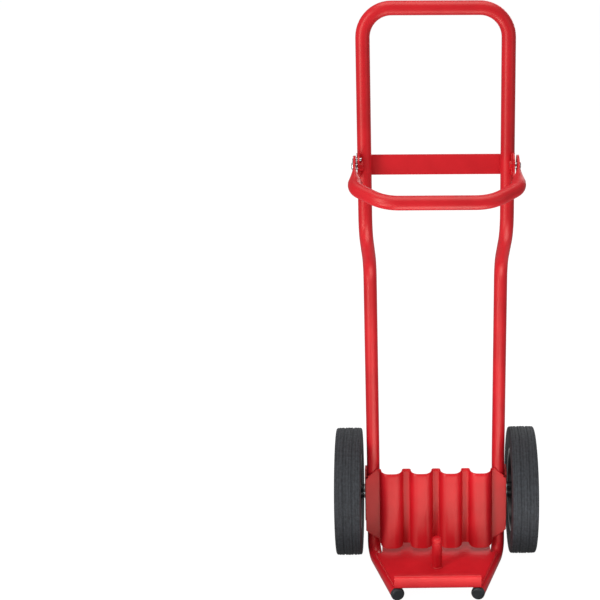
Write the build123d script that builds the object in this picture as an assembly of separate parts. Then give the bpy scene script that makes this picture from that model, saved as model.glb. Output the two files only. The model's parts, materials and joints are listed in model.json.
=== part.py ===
"""Hand truck for a breaker hammer and its chisels, in millimetres.

+Z is up and -Y is the front, where the toe plate and the retaining bar point. The origin is on the floor,
in the middle of the truck's plan. "Reach" is the distance in front of the wheel axle: y = AXLE_Y - reach.
"""
from build123d import *
import math
import os

# ---- driving dimensions -------------------------------------------------------------------------
TUBE_R = 12.5                 # frame, cross tube and retaining bar are all 25 mm steel tube
TUBE_WALL = 2.0
GAP = 0.1                     # paint-thin gap between welded pieces

WHEEL_R = 125.0
WHEEL_W = 50.0
WHEEL_X = 170.0               # middle of the tyre
AXLE_R = 8.0
AXLE_Z = WHEEL_R
AXLE_END_X = 193.5
RUNNING = 0.06                # radial clearance of a running fit

HANDLE_HALF = 126.5           # half the distance between the upper tubes' centres
LOWER_HALF = 122.0            # the same below the S-bend
HANDLE_TOP = (85.0, 1077.0)   # reach and height of the tube's centre at each corner of the side view
S_UPPER = (105.0, 684.0)
S_LOWER = (25.0, 602.0)
KNEE = (18.0, 212.0)
CAP_R = 12.8                  # the foot caps' heads stand proud of the tube and carry the front
HEEL = (47.0, CAP_R)
TOE_REACH = 214.0             # front face of the foot caps
TOE_HALF = 73.5
HANDLE_BEND = 50.0
S_BEND = 75.0
KNEE_BEND = 120.0
HEEL_BEND = 30.0

CAP_HEAD = 8.0
CAP_STEM = 20.0
CAP_EDGE = 5.0

PIVOT = (120.0, 808.0)        # reach and height of the retaining bar's hinge line
BAR_FRONT = (240.0, 771.0)    # reach and height of the crossbar's centre at rest
BAR_ARM_X = 140.5
BAR_KNEE_X = 90.0             # where the slanted part would meet the crossbar
BAR_KNEE_BEND = 65.0
BAR_ARM_BEND = 30.0
BAR_ARM_REACH = 195.0         # where the arm would meet the slanted part
LEAF_X = 141.0                # inner face of the bar's flattened end
LEAF_T = 4.0
LEAF_W = 37.0
LEAF_END = 24.0               # the flat runs this far in front of the hinge line
ARM_START = 60.0              # the arm is fully round from here
BAR_SWING = 100.0             # degrees the bar can be lifted
VENT_R = 2.0

BRACKET_X = HANDLE_HALF + 7.5
BRACKET_T = 3.0
BRACKET_H = 40.0
BRACKET_ROUND = 14.0
BOLT_R = 4.0
BOLT_HEAD = (7.0, 3.5)        # radius and thickness
NUT = (13.0, 5.5)             # size across flats and thickness
STOP_PIN_R = 3.0
STOP_PIN_HEAD = (5.0, 1.8)
STOP_PIN_RADIUS = 12.0        # distance of the stop pin from the hinge line
SLOT_SLACK = 2.0              # degrees of the slot beyond the bar's travel, at each end
SLOT_PLAY = 0.7

STRAP_T = 3.0
STRAP_H = 36.0
STRAP_Z = 803.5

SHEET_T = 2.0                 # chisel holder
SHEET_TOP = 192.0
SHEET_BOTTOM = 42.0
SHEET_HALF = 137.0
CHANNEL_W = 44.0
CHANNEL_PITCH = 57.5
CHANNEL_DEPTH = 19.5
CHANNEL_BEND = 17.0           # outer radius of each channel's two front corners
CHANNELS = 4
SHEET_GAP = 0.5
UPPER_CORNER = (112.0, 22.0)  # each upper wing corner is cut from this x at the top to this far below it
LOWER_CORNER = (110.0, 8.0, 26.0)

PLATE_T = 3.0                 # toe plate
PLATE_Z = 2 * CAP_R + 0.2
PLATE_REAR = 33.0
PLATE_NOTCH = 106.0           # half width between the tubes
PLATE_STEP = 78.0             # from this reach on, the plate lies on the legs
PLATE_OVERLAP = 4.0           # its slanting edges run this far outside the legs' middle lines
LIP_HALF = 81.0
LIP_H = 25.5
RETURN_DEPTH = 11.0
RETURN_CHAMFER = 13.0

TOOL_PIN_R = 9.8
TOOL_PIN_H = 62.0
TOOL_PIN_REACH = 134.0
TOOL_PIN_DOME = 5.5
GROOVE_DROP = 11.0            # middle of the pin's groove, below its top

CHEEK_T = 4.0                 # axle cheek plates
CHEEK_X = LOWER_HALF + TUBE_R + GAP
CHEEK_LOW = 78.0
CHEEK_HIGH = 180.0
CHEEK_NOSE = AXLE_R + 14      # how far the plate reaches behind the axle

RIM_SEAT_R = 75.0
RIM_LIP_R = 83.0
RIM_HALF_W = 22.0
RIM_T = 2.0
HUB_R = 16.0
HUB_BORE_R = 13.0
HUB_IN_X = 141.6
HUB_OUT_X = 184.6
BUSH_FLANGE = 1.5
BUSH_L = 14.0
RIM_BOLTS = 4
RIM_BOLT_PCD = 90.0
RIM_BOLT_R = 3.0
RIM_NUT_FLATS = 10.0

TREAD_GROOVES = (-8.5, 8.5)
GROOVE_DEPTH = 1.5
GROOVE_TOP = 1.2              # half widths of a groove
GROOVE_FLOOR = 0.6

WASHER_R = 14.0
WASHER_T = 1.6
INNER_WASHER_T = 2.6
PIN_X = 189.0                 # split pins
PIN_HOLE_R = 1.7
PIN_WIRE_R = 1.5
CLIP_WIRE_R = 0.9
CLIP_TILT = -40.0             # the clip hangs forward, so that its leg passes the hinge spacer

AXLE_Y = (BAR_FRONT[0] + TUBE_R - WHEEL_R) / 2


# ---- helpers ------------------------------------------------------------------------------------
def at(x, reach, z):
    """A point from its sideways place, its reach in front of the axle and its height."""
    return (x, AXLE_Y - reach, z)


def rod(x0, x1, radius, reach, z):
    """A round bar along X between two sideways places."""
    plane = Plane(origin=at(x0, reach, z), x_dir=(0, 1, 0), z_dir=(1 if x1 > x0 else -1, 0, 0))
    return extrude(plane * Circle(radius), abs(x1 - x0))


def ring(x0, x1, outer, inner, reach, z):
    """A round collar along X."""
    over = 1 if x1 > x0 else -1
    return rod(x0, x1, outer, reach, z) - rod(x0 - over, x1 + over, inner, reach, z)


def hexagon(x0, x1, flats, reach, z):
    """A six-sided nut or bolt head along X, with its size across flats."""
    plane = Plane(origin=at(x0, reach, z), x_dir=(0, 0, 1), z_dir=(1 if x1 > x0 else -1, 0, 0))
    return extrude(plane * RegularPolygon(flats / 2, 6, major_radius=False), abs(x1 - x0))


def side_plate(points, x0, thickness, rounds=()):
    """A flat plate in a plane of constant X; points are (reach, height), and rounds are
    (point number, radius) pairs of rounded corners."""
    outline = [at(x0, reach, z) for reach, z in points]
    plate = extrude(make_face(Polyline(*outline, close=True)), thickness, dir=(1, 0, 0))
    for number, radius in rounds:
        corner = Vector(*outline[number])
        edges = plate.edges().filter_by(Axis.X)
        edge = min(edges, key=lambda e: math.hypot(e.center().Y - corner.Y, e.center().Z - corner.Z))
        plate = fillet(edge, radius)
    return plate


def mirrored(shape):
    """The same piece on the other side of the truck."""
    return mirror(shape, about=Plane.YZ)


def tube_along(path, radius, wall):
    """A round tube swept along a path whose straight runs and arcs are tangent."""
    start = Plane(origin=path @ 0, z_dir=path % 0)
    outer = sweep(start * Circle(radius), path=path)
    inner = sweep(start * Circle(radius - wall), path=path)
    return outer - inner


def turned(profile):
    """A ring turned about the wheel's axle from a closed outline of (x, radius) points."""
    outline = [at(x, 0, AXLE_Z + radius) for x, radius in profile]
    face = make_face(Polyline(*outline, close=True))
    return revolve(face, Axis(at(0, 0, AXLE_Z), (1, 0, 0)))


def between(low, high, value):
    """How reach changes with height along a straight run between two (reach, height) corners."""
    share = (value - low[1]) / (high[1] - low[1])
    return low[0] + share * (high[0] - low[0])


# ---- the welded frame ---------------------------------------------------------------------------
def leg_direction():
    """Unit vector of the right leg along the floor, towards its foot."""
    run = Vector(TOE_HALF - LOWER_HALF, -(TOE_REACH - HEEL[0]), 0)
    return run.normalized()


def foot_end():
    """Where the right leg's tube is cut, behind the head of its foot cap."""
    return Vector(*at(TOE_HALF, TOE_REACH, CAP_R)) - leg_direction() * CAP_HEAD


def frame_tube():
    """One tube, bent from foot to foot over the handle."""
    right = [
        tuple(foot_end()),
        at(LOWER_HALF, *HEEL),
        at(LOWER_HALF, *KNEE),
        at(LOWER_HALF, *S_LOWER),
        at(HANDLE_HALF, *S_UPPER),
        at(HANDLE_HALF, *HANDLE_TOP),
    ]
    left = [(-x, y, z) for x, y, z in reversed(right)]
    bends = [HEEL_BEND, KNEE_BEND, S_BEND, S_BEND, HANDLE_BEND]
    path = FilletPolyline(*right, *left, radius=bends + bends[::-1])
    return tube_along(path, TUBE_R, TUBE_WALL)


def cross_strap():
    """Flat bar welded across the back of the tubes, square to them."""
    reach = between(S_UPPER, HANDLE_TOP, STRAP_Z)
    lean = math.degrees(math.atan2(S_UPPER[0] - HANDLE_TOP[0], HANDLE_TOP[1] - S_UPPER[1]))
    plane = Plane(origin=at(0, reach, STRAP_Z)).rotated((-lean, 0, 0))
    length = 2 * (HANDLE_HALF + TUBE_R)
    bar = Pos(0, TUBE_R + GAP + STRAP_T / 2, 0) * Box(length, STRAP_T, STRAP_H)
    return plane * bar


def right_pivot_bracket():
    """Ear welded to the front of the upper tube; it carries the hinge bolt and the stop pin."""
    reach, z = PIVOT
    rear = between(S_UPPER, HANDLE_TOP, z)
    half = BRACKET_H / 2
    front = reach + half
    corners = [(rear, z - half), (front, z - half), (front, z + half), (rear, z + half)]
    ear = side_plate(corners, BRACKET_X, BRACKET_T, rounds=[(1, BRACKET_ROUND), (2, BRACKET_ROUND)])
    run = Vector(*at(0, *HANDLE_TOP)) - Vector(*at(0, *S_UPPER))
    tube = Plane(origin=at(HANDLE_HALF, *S_UPPER), z_dir=run)
    ear -= extrude(tube * Circle(TUBE_R + GAP), run.length)
    ear -= rod(BRACKET_X - 1, BRACKET_X + BRACKET_T + 1, BOLT_R + RUNNING, reach, z)
    ear -= rod(BRACKET_X - 1, BRACKET_X + BRACKET_T + 1, STOP_PIN_R + RUNNING, reach, z + STOP_PIN_RADIUS)
    return ear


def axle_tube():
    """Cross tube that the axle runs through, between the cheek plates."""
    end = LOWER_HALF + TUBE_R
    return ring(-end, end, TUBE_R, TUBE_R - TUBE_WALL, 0, AXLE_Z)


def right_axle_cheek():
    """Plate welded to the outside of the lower tube; the axle passes through it."""
    low_front = between(HEEL, KNEE, CHEEK_LOW + 10) + 5
    high_front = between(HEEL, KNEE, CHEEK_HIGH - 12) + 5
    outline = [
        (low_front, CHEEK_LOW + 10), (low_front - 5, CHEEK_LOW), (AXLE_R, CHEEK_LOW),
        (-CHEEK_NOSE, AXLE_Z - 19), (-CHEEK_NOSE, AXLE_Z + 19),
        (0, CHEEK_HIGH), (high_front - 11, CHEEK_HIGH), (high_front, CHEEK_HIGH - 12),
    ]
    plate = side_plate(outline, CHEEK_X, CHEEK_T, rounds=[(3, 14), (4, 14)])
    return plate - rod(CHEEK_X - 1, CHEEK_X + CHEEK_T + 1, AXLE_R + RUNNING, 0, AXLE_Z)


def toe_plate():
    """Bent sheet on the legs: a flat floor, a front lip and a short return at the lip's top."""
    top = PLATE_Z + PLATE_T
    crest = PLATE_Z + LIP_H
    inner_reach = TOE_REACH - PLATE_T
    section = [
        (PLATE_REAR, PLATE_Z), (TOE_REACH, PLATE_Z), (TOE_REACH, crest), (TOE_REACH - RETURN_DEPTH, crest),
        (TOE_REACH - RETURN_DEPTH, crest - PLATE_T), (inner_reach, crest - PLATE_T), (inner_reach, top),
        (PLATE_REAR, top),
    ]
    bends = [(1, PLATE_T + 1), (2, PLATE_T + 1), (5, 1), (6, 1)]
    sheet = side_plate(section, -LOWER_HALF, 2 * LOWER_HALF, rounds=bends)
    slope = (LOWER_HALF - TOE_HALF) / (TOE_REACH - HEEL[0])
    edge_half = LOWER_HALF + PLATE_OVERLAP
    step_half = edge_half - (PLATE_STEP - HEEL[0]) * slope
    lip_reach = HEEL[0] + (edge_half - LIP_HALF) / slope
    half = [(PLATE_NOTCH, PLATE_REAR - 1), (PLATE_NOTCH, PLATE_STEP), (step_half, PLATE_STEP),
            (LIP_HALF, lip_reach), (LIP_HALF, TOE_REACH + 1)]
    plan = [at(x, reach, 0) for x, reach in half] + [at(-x, reach, 0) for x, reach in reversed(half)]
    sheet &= extrude(make_face(Polyline(*plan, close=True)), 2 * LIP_H + PLATE_Z, dir=(0, 0, 1))
    back = TOE_REACH - RETURN_DEPTH
    for side in (1, -1):
        wedge = [
            at(side * (LIP_HALF - RETURN_CHAMFER), back - 1, top + 2),
            at(side * (LIP_HALF + 1), back - 1, top + 2),
            at(side * (LIP_HALF + 1), inner_reach - 1, top + 2),
        ]
        sheet -= extrude(make_face(Polyline(*wedge, close=True)), LIP_H + 10, dir=(0, 0, 1))
    return sheet


def tool_pin():
    """Upright pin that fits inside the breaker's tool holder, with a groove near its domed top."""
    foot = PLATE_Z + PLATE_T + GAP
    x, y, _ = at(0, TOOL_PIN_REACH, 0)
    post = Pos(x, y, foot) * Cylinder(TOOL_PIN_R, TOOL_PIN_H, align=(Align.CENTER, Align.CENTER, Align.MIN))
    post = fillet(post.faces().sort_by(Axis.Z)[-1].edges(), TOOL_PIN_DOME)
    groove = Pos(x, y, foot + TOOL_PIN_H - GROOVE_DROP) * Torus(TOOL_PIN_R + 1, 2)
    return post - groove


def channel_section(x, inset, rear):
    """Plan of one channel about its middle x, a sheet's thickness or nothing inside its outer face."""
    front = SHEET_T + CHANNEL_DEPTH - inset
    plan = Pos(x, (rear - front) / 2, 0) * Rectangle(CHANNEL_W - 2 * inset, rear + front)
    return fillet(plan.vertices().sort_by(Axis.Y)[:2], CHANNEL_BEND - inset)


def chisel_holder():
    """Sheet pressed into four round-cornered channels, welded to the front of the lower tubes."""
    height = SHEET_TOP - SHEET_BOTTOM
    middles = [(n - (CHANNELS - 1) / 2) * CHANNEL_PITCH for n in range(CHANNELS)]
    plan = Pos(0, -SHEET_T / 2, 0) * Rectangle(2 * SHEET_HALF, SHEET_T)
    for x in middles:
        plan += channel_section(x, 0, 0)
    for x in middles:
        plan -= channel_section(x, SHEET_T, 5)
    behind = Pos(0, CHANNEL_W, 0) * Rectangle(3 * SHEET_HALF, 2 * CHANNEL_W)
    sheet = extrude(plan - behind, height)
    wing_x = SHEET_HALF + 1
    upper_x, upper_drop = UPPER_CORNER
    upper_cut = [(upper_x, height + 1), (wing_x, height + 1), (wing_x, height - upper_drop)]
    lower_x, lower_start, lower_end = LOWER_CORNER
    lower_cut = [(lower_x, -1), (lower_x, lower_start), (wing_x, lower_end), (wing_x, -1)]
    for side in (1, -1):
        for cut in (upper_cut, lower_cut):
            face = make_face(Polyline(*[(side * x, -SHEET_HALF, z) for x, z in cut], close=True))
            sheet -= extrude(face, 2 * SHEET_HALF, dir=(0, 1, 0))
    lean = math.degrees(math.atan2(HEEL[0] - KNEE[0], KNEE[1] - HEEL[1]))
    base = Plane(origin=at(0, between(HEEL, KNEE, 0), 0)).rotated((-lean, 0, 0))
    return base * (Pos(0, -(TUBE_R + SHEET_GAP), SHEET_BOTTOM) * sheet)


def right_foot_cap():
    """Domed plug in the end of the leg."""
    along = leg_direction()
    plane = Plane(origin=foot_end(), z_dir=along)
    head = Cylinder(CAP_R, CAP_HEAD - GAP, align=(Align.CENTER, Align.CENTER, Align.MIN))
    head = fillet(head.faces().sort_by(Axis.Z)[-1].edges(), CAP_EDGE)
    stem = Cylinder(TUBE_R - TUBE_WALL - GAP, CAP_STEM, align=(Align.CENTER, Align.CENTER, Align.MAX))
    return plane * (Pos(0, 0, GAP) * head + Pos(0, 0, GAP) * stem)


# ---- axle and its fasteners ---------------------------------------------------------------------
def axle():
    """Fixed round axle with a split-pin hole at each end."""
    bar = rod(-AXLE_END_X, AXLE_END_X, AXLE_R, 0, AXLE_Z)
    ends = bar.faces().sort_by(Axis.X)
    bar = chamfer(ends[0].edges() + ends[-1].edges(), 1)
    for side in (1, -1):
        hole = Pos(*at(side * PIN_X, 0, AXLE_Z)) * Cylinder(PIN_HOLE_R, 4 * AXLE_R)
        bar -= hole
    return bar


def washer(x0, thickness):
    """Plain washer on the axle."""
    return ring(x0, x0 + thickness, WASHER_R, AXLE_R + 0.3, 0, AXLE_Z)


def split_pin():
    """Split pin through the right end of the axle: an eye on top and two spread legs below."""
    x, y, z = at(PIN_X, 0, AXLE_Z)
    shank = Pos(x, y, z) * Cylinder(PIN_WIRE_R, 2 * AXLE_R + 3)
    eye = Pos(x, y, z + AXLE_R + 4.6) * Rot(0, 90, 0) * Torus(3.2, 1.0)
    pin = shank + eye
    for turn in (-35, 35):
        leg = Rot(turn, 0, 0) * Pos(0, 0, -3.5) * Cylinder(0.9, 7)
        pin += Pos(x, y, z - AXLE_R - 1.3) * leg
    return pin


# ---- wheels -------------------------------------------------------------------------------------
def tyre():
    """Solid rubber tyre with ribs round its tread, on the right wheel."""
    half = WHEEL_W / 2
    bead = RIM_HALF_W - RIM_T - 0.2
    right_side = [(bead, RIM_SEAT_R + 0.1), (bead, RIM_LIP_R + 0.6), (RIM_HALF_W, RIM_LIP_R + 0.6),
                  (half, RIM_LIP_R + 8), (half, WHEEL_R - 5), (half - 1.5, WHEEL_R - 1.6), (half - 5, WHEEL_R)]
    tread = []
    for middle in reversed(TREAD_GROOVES):
        tread += [(middle + GROOVE_TOP, WHEEL_R), (middle + GROOVE_FLOOR, WHEEL_R - GROOVE_DEPTH),
                  (middle - GROOVE_FLOOR, WHEEL_R - GROOVE_DEPTH), (middle - GROOVE_TOP, WHEEL_R)]
    left_side = [(-x, r) for x, r in reversed(right_side)]
    return Pos(WHEEL_X, 0, 0) * turned(right_side + tread + left_side)


def rim_half(side):
    """Pressed half of the right wheel's rim; side is 1 for the outer half and -1 for the inner."""
    t = RIM_T
    seat = RIM_SEAT_R
    outline = [(GAP / 2, HUB_R + GAP), (GAP / 2, seat - 7), (7, seat), (RIM_HALF_W - t, seat),
               (RIM_HALF_W - t, RIM_LIP_R), (RIM_HALF_W, RIM_LIP_R), (RIM_HALF_W, seat - t),
               (7.8, seat - t), (t, seat - 7.8), (t, HUB_R + GAP)]
    half = Pos(WHEEL_X, 0, 0) * turned([(side * x, r) for x, r in outline])
    for _, reach, z in rim_bolt_places():
        half -= rod(WHEEL_X - 5, WHEEL_X + 5, RIM_BOLT_R + 0.2, reach, z)
    return half


def rim_bolt_places():
    """Sideways place, reach and height of each rim bolt."""
    places = []
    for n in range(RIM_BOLTS):
        angle = math.radians(45 + n * 360 / RIM_BOLTS)
        reach = RIM_BOLT_PCD / 2 * math.cos(angle)
        places.append((WHEEL_X, reach, AXLE_Z + RIM_BOLT_PCD / 2 * math.sin(angle)))
    return places


def rim_bolts():
    """Hex bolts that clamp the two rim halves, with their heads outside."""
    bolts = []
    for x, reach, z in rim_bolt_places():
        head = hexagon(x + RIM_T + GAP, x + RIM_T + 4, RIM_NUT_FLATS, reach, z)
        bolts.append(head + rod(x + RIM_T + GAP, x - 10, RIM_BOLT_R, reach, z))
    return Compound(children=bolts)


def rim_nuts():
    """Hex nuts on the inner side of the rim."""
    nuts = []
    for x, reach, z in rim_bolt_places():
        nut = hexagon(x - RIM_T - GAP, x - RIM_T - 5, RIM_NUT_FLATS, reach, z)
        nuts.append(nut - rod(x, x - 10, RIM_BOLT_R + 0.05, reach, z))
    return Compound(children=nuts)


def hub():
    """Steel hub tube welded through the rim."""
    return ring(HUB_IN_X + BUSH_FLANGE, HUB_OUT_X - BUSH_FLANGE, HUB_R, HUB_BORE_R, 0, AXLE_Z)


def hub_bush(face_x, inward):
    """Flanged plastic bush in one end of the hub; inward is the way into the hub."""
    flange = rod(face_x, face_x + inward * (BUSH_FLANGE - 0.02), HUB_R, 0, AXLE_Z)
    body = rod(face_x, face_x + inward * BUSH_L, HUB_BORE_R - 0.02, 0, AXLE_Z)
    return flange + body - rod(face_x - inward, face_x + inward * 2 * BUSH_L, AXLE_R + RUNNING, 0, AXLE_Z)


def hub_bushes():
    """The hub's two bushes."""
    return Compound(children=[hub_bush(HUB_IN_X, 1), hub_bush(HUB_OUT_X, -1)])


# ---- retaining bar ------------------------------------------------------------------------------
def bar_droop():
    """How far the bar hangs below level at rest, in degrees."""
    return math.degrees(math.atan2(PIVOT[1] - BAR_FRONT[1], BAR_FRONT[0] - PIVOT[0]))


def retaining_bar():
    """U of tube with flattened ends that hinge on the brackets.

    It is drawn level, with its hinge line on the X axis, then tilted down and moved into place."""
    droop = bar_droop()
    front = math.hypot(PIVOT[1] - BAR_FRONT[1], BAR_FRONT[0] - PIVOT[0])
    arm_end = (BAR_ARM_REACH - PIVOT[0]) / math.cos(math.radians(droop))
    right = [(BAR_ARM_X, -ARM_START, 0), (BAR_ARM_X, -arm_end, 0), (BAR_KNEE_X, -front, 0)]
    left = [(-x, y, z) for x, y, z in reversed(right)]
    bends = [BAR_ARM_BEND, BAR_KNEE_BEND]
    path = FilletPolyline(*right, *left, radius=bends + bends[::-1])
    bar = tube_along(path, TUBE_R, TUBE_WALL)
    for side in (1, -1):
        bar += flattened_end(side)
    vent = Pos(0, -front + TUBE_R, 0) * Rot(90, 0, 0) * Cylinder(VENT_R, 2 * TUBE_WALL + 2)
    bar -= vent
    return Pos(*at(0, *PIVOT)) * Rot(droop, 0, 0) * bar


def flattened_end(side):
    """Flat leaf with the hinge hole and the stop pin's arc slot, growing into the round arm."""
    middle = LEAF_X + LEAF_T / 2
    round_end = Plane(origin=(side * BAR_ARM_X, -ARM_START, 0), x_dir=(1, 0, 0), z_dir=(0, 1, 0))
    flat_end = Plane(origin=(side * middle, -LEAF_END, 0), x_dir=(1, 0, 0), z_dir=(0, 1, 0))
    section = RectangleRounded(LEAF_T, LEAF_W, LEAF_T / 2 - 0.05)
    neck = loft([round_end * Circle(TUBE_R), flat_end * section])
    blade = Plane(origin=(side * LEAF_X, 0, 0), x_dir=(0, 1, 0), z_dir=(side, 0, 0))
    shape = blade * (Pos(-LEAF_END / 2, 0) * Rectangle(LEAF_END, LEAF_W) + Circle(LEAF_W / 2))
    leaf = extrude(shape, LEAF_T)
    leaf -= extrude(blade * Circle(BOLT_R + RUNNING), LEAF_T + 1)
    leaf -= extrude(blade * arc_slot(side), LEAF_T + 1)
    return neck + leaf


def arc_slot(side):
    """Slot about the hinge line that the stop pin sits in; the pin is near its end at rest."""
    first = bar_droop() + SLOT_SLACK
    last = bar_droop() - BAR_SWING - SLOT_SLACK
    points = []
    for share in (0, 0.5, 1):
        angle = math.radians(first + share * (last - first))
        points.append((STOP_PIN_RADIUS * math.sin(angle), side * STOP_PIN_RADIUS * math.cos(angle)))
    return SlotArc(ThreePointArc(*points), 2 * STOP_PIN_R + SLOT_PLAY)


# ---- hinge hardware -----------------------------------------------------------------------------
def pivot_bolt():
    """Dome-headed bolt through the right leaf, spacer and bracket."""
    reach, z = PIVOT
    head_x = LEAF_X + LEAF_T + GAP
    radius, thickness = BOLT_HEAD
    head = rod(head_x, head_x + thickness, radius, reach, z)
    head = fillet(head.faces().sort_by(Axis.X)[-1].edges(), thickness - 0.5)
    return head + rod(head_x, BRACKET_X - NUT[1], BOLT_R, reach, z)


def pivot_spacer():
    """Sleeve that keeps the leaf clear of the bracket."""
    x0 = BRACKET_X + BRACKET_T + GAP
    return ring(x0, LEAF_X - GAP, 6, BOLT_R + RUNNING, *PIVOT)


def pivot_nut():
    """Weld nut on the inside of the bracket, in front of the frame tube."""
    flats, thickness = NUT
    nut = hexagon(BRACKET_X - GAP, BRACKET_X - GAP - thickness, flats, *PIVOT)
    return nut - rod(BRACKET_X + 1, BRACKET_X - 8, BOLT_R + 0.05, *PIVOT)


def stop_pin():
    """Headed pin through the left leaf's slot and the bracket."""
    reach, z = PIVOT[0], PIVOT[1] + STOP_PIN_RADIUS
    head_x = -(LEAF_X + LEAF_T + 0.2)
    radius, thickness = STOP_PIN_HEAD
    head = rod(head_x, head_x - thickness, radius, reach, z)
    shank = rod(head_x, -(BRACKET_X - 3), STOP_PIN_R, reach, z)
    hole = Pos(*at(clip_x(), reach, z)) * Rot(CLIP_TILT, 0, 0) * Cylinder(CLIP_WIRE_R + GAP, 10)
    return head + shank - hole


def clip_x():
    """Sideways place of the spring clip, halfway between the left bracket and leaf."""
    return -(BRACKET_X + BRACKET_T + LEAF_X) / 2


def spring_clip():
    """Hairpin clip: a straight leg through the stop pin and a sprung leg beside it."""
    outline = [(0, -20), (0, 9), (-6.5, 9), (-6.5, 4), (-4.1, 0), (-4.1, -9), (-6.5, -14)]
    points = [(0, y, z) for y, z in outline]
    path = FilletPolyline(*points, radius=[2.9, 2.2, 2, 3, 3])
    start = Plane(origin=path @ 0, z_dir=path % 0)
    clip = sweep(start * Circle(CLIP_WIRE_R), path=path)
    place = at(clip_x(), PIVOT[0], PIVOT[1] + STOP_PIN_RADIUS)
    return Pos(*place) * Rot(CLIP_TILT, 0, 0) * clip


# ---- every node ---------------------------------------------------------------------------------
def pair(shape):
    """A piece and its mirror image, as one group."""
    return Compound(children=[shape, mirrored(shape)])


def both_sides(name, shape):
    """Separate right and left nodes of one piece."""
    return {f"right_{name}": shape, f"left_{name}": mirrored(shape)}


def all_nodes():
    cheek_out = CHEEK_X + CHEEK_T
    nodes = {
        "frame_tube": frame_tube(),
        "cross_strap": cross_strap(),
        "axle_tube": axle_tube(),
        "toe_plate": toe_plate(),
        "tool_pin": tool_pin(),
        "chisel_holder": chisel_holder(),
        "axle": axle(),
        "inner_axle_washers": pair(washer(cheek_out + GAP, INNER_WASHER_T)),
        "outer_axle_washers": pair(washer(HUB_OUT_X + 0.3, WASHER_T)),
        "axle_split_pins": pair(split_pin()),
        "retaining_bar": retaining_bar(),
        "pivot_bolts": pair(pivot_bolt()),
        "pivot_spacers": pair(pivot_spacer()),
        "pivot_nuts": pair(pivot_nut()),
        "stop_pin": stop_pin(),
        "spring_clip": spring_clip(),
    }
    nodes |= both_sides("pivot_bracket", right_pivot_bracket())
    nodes |= both_sides("axle_cheek", right_axle_cheek())
    nodes |= both_sides("foot_cap", right_foot_cap())
    nodes |= both_sides("tyre", tyre())
    nodes |= both_sides("rim_outer_half", rim_half(1))
    nodes |= both_sides("rim_inner_half", rim_half(-1))
    nodes |= both_sides("hub", hub())
    nodes |= both_sides("hub_bushes", hub_bushes())
    nodes |= both_sides("rim_bolts", rim_bolts())
    nodes |= both_sides("rim_nuts", rim_nuts())
    return nodes


os.makedirs("parts", exist_ok=True)
for node, shape in all_nodes().items():
    export_step(shape, f"parts/{node}.step")
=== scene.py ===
# %% [markdown]
# A hand truck for a breaker hammer: bent red tube, a swinging retaining bar, a corrugated chisel holder and
# two solid rubber wheels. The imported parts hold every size, so this lesson only adds finishes, moulded,
# pressed and welded detail, light and a camera. Shapes are worked out in millimetres, and one function makes
# each into a mesh in metres.

import json
import math

import bmesh
import bpy
import numpy as np
from mathutils import Matrix, Vector


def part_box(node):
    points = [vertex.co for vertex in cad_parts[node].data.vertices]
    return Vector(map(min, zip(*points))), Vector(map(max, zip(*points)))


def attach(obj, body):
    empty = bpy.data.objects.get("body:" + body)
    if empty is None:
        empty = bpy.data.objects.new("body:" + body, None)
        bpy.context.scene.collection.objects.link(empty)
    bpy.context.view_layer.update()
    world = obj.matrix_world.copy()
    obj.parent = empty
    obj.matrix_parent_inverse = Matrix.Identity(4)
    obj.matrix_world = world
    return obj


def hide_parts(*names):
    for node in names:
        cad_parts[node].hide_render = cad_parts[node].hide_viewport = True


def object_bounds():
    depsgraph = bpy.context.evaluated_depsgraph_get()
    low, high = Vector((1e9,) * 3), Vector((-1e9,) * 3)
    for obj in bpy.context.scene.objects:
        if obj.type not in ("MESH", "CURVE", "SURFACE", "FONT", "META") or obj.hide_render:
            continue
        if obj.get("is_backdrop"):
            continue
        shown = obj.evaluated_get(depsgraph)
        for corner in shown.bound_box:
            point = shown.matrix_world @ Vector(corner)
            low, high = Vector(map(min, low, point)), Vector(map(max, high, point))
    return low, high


MM = 0.001
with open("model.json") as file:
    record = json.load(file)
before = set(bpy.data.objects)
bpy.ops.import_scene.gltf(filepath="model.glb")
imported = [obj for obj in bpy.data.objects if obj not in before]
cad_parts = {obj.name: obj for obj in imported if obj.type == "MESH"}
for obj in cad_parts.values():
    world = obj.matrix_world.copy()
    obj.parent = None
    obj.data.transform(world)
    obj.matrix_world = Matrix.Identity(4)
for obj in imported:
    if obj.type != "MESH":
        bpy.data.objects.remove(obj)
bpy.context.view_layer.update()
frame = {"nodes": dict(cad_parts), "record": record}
nodes = frame["nodes"]

# %% [markdown]
# Welded and pressed pieces have to meet the tubes exactly. These are the few driving sizes of the truck that
# they need. A place is given as the maker's drawing gives it: sideways, reach in front of the axle, and
# height.

# %% Driving sizes, in millimetres
TUBE_R = 12.5
HANDLE_HALF = 126.5
LOWER_HALF = 122.0
HANDLE_TOP = (85.0, 1077.0)
S_UPPER = (105.0, 684.0)
KNEE = (18.0, 212.0)
HEEL = (47.0, 12.8)
TOE_REACH = 214.0
TOE_HALF = 73.5
PLATE_OVERLAP = 4.0
PLATE_LIP_HALF = 81.0

axle_low, axle_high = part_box("axle")
AXLE_Y = (axle_low.y + axle_high.y) / 2 / MM
AXLE_Z = (axle_low.z + axle_high.z) / 2 / MM


def at(x, reach, z):
    """A point in millimetres from its sideways place, its reach in front of the axle and its height."""
    return np.array([x, AXLE_Y - reach, z])


def between(low, high, z):
    """Reach at height z on the straight line between two (reach, height) corners."""
    return low[0] + (z - low[1]) / (high[1] - low[1]) * (high[0] - low[0])


print("axle at y", round(AXLE_Y, 2), "z", round(AXLE_Z, 2))

# %% [markdown]
# The camera stands about two and a half metres in front of the truck, a little above its handle and a little
# to its left, and looks down at it. A long lens keeps the tubes nearly parallel. The truck stands in the
# right half of the view, so the lens is shifted sideways instead of turned, which keeps its two sides alike.

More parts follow.
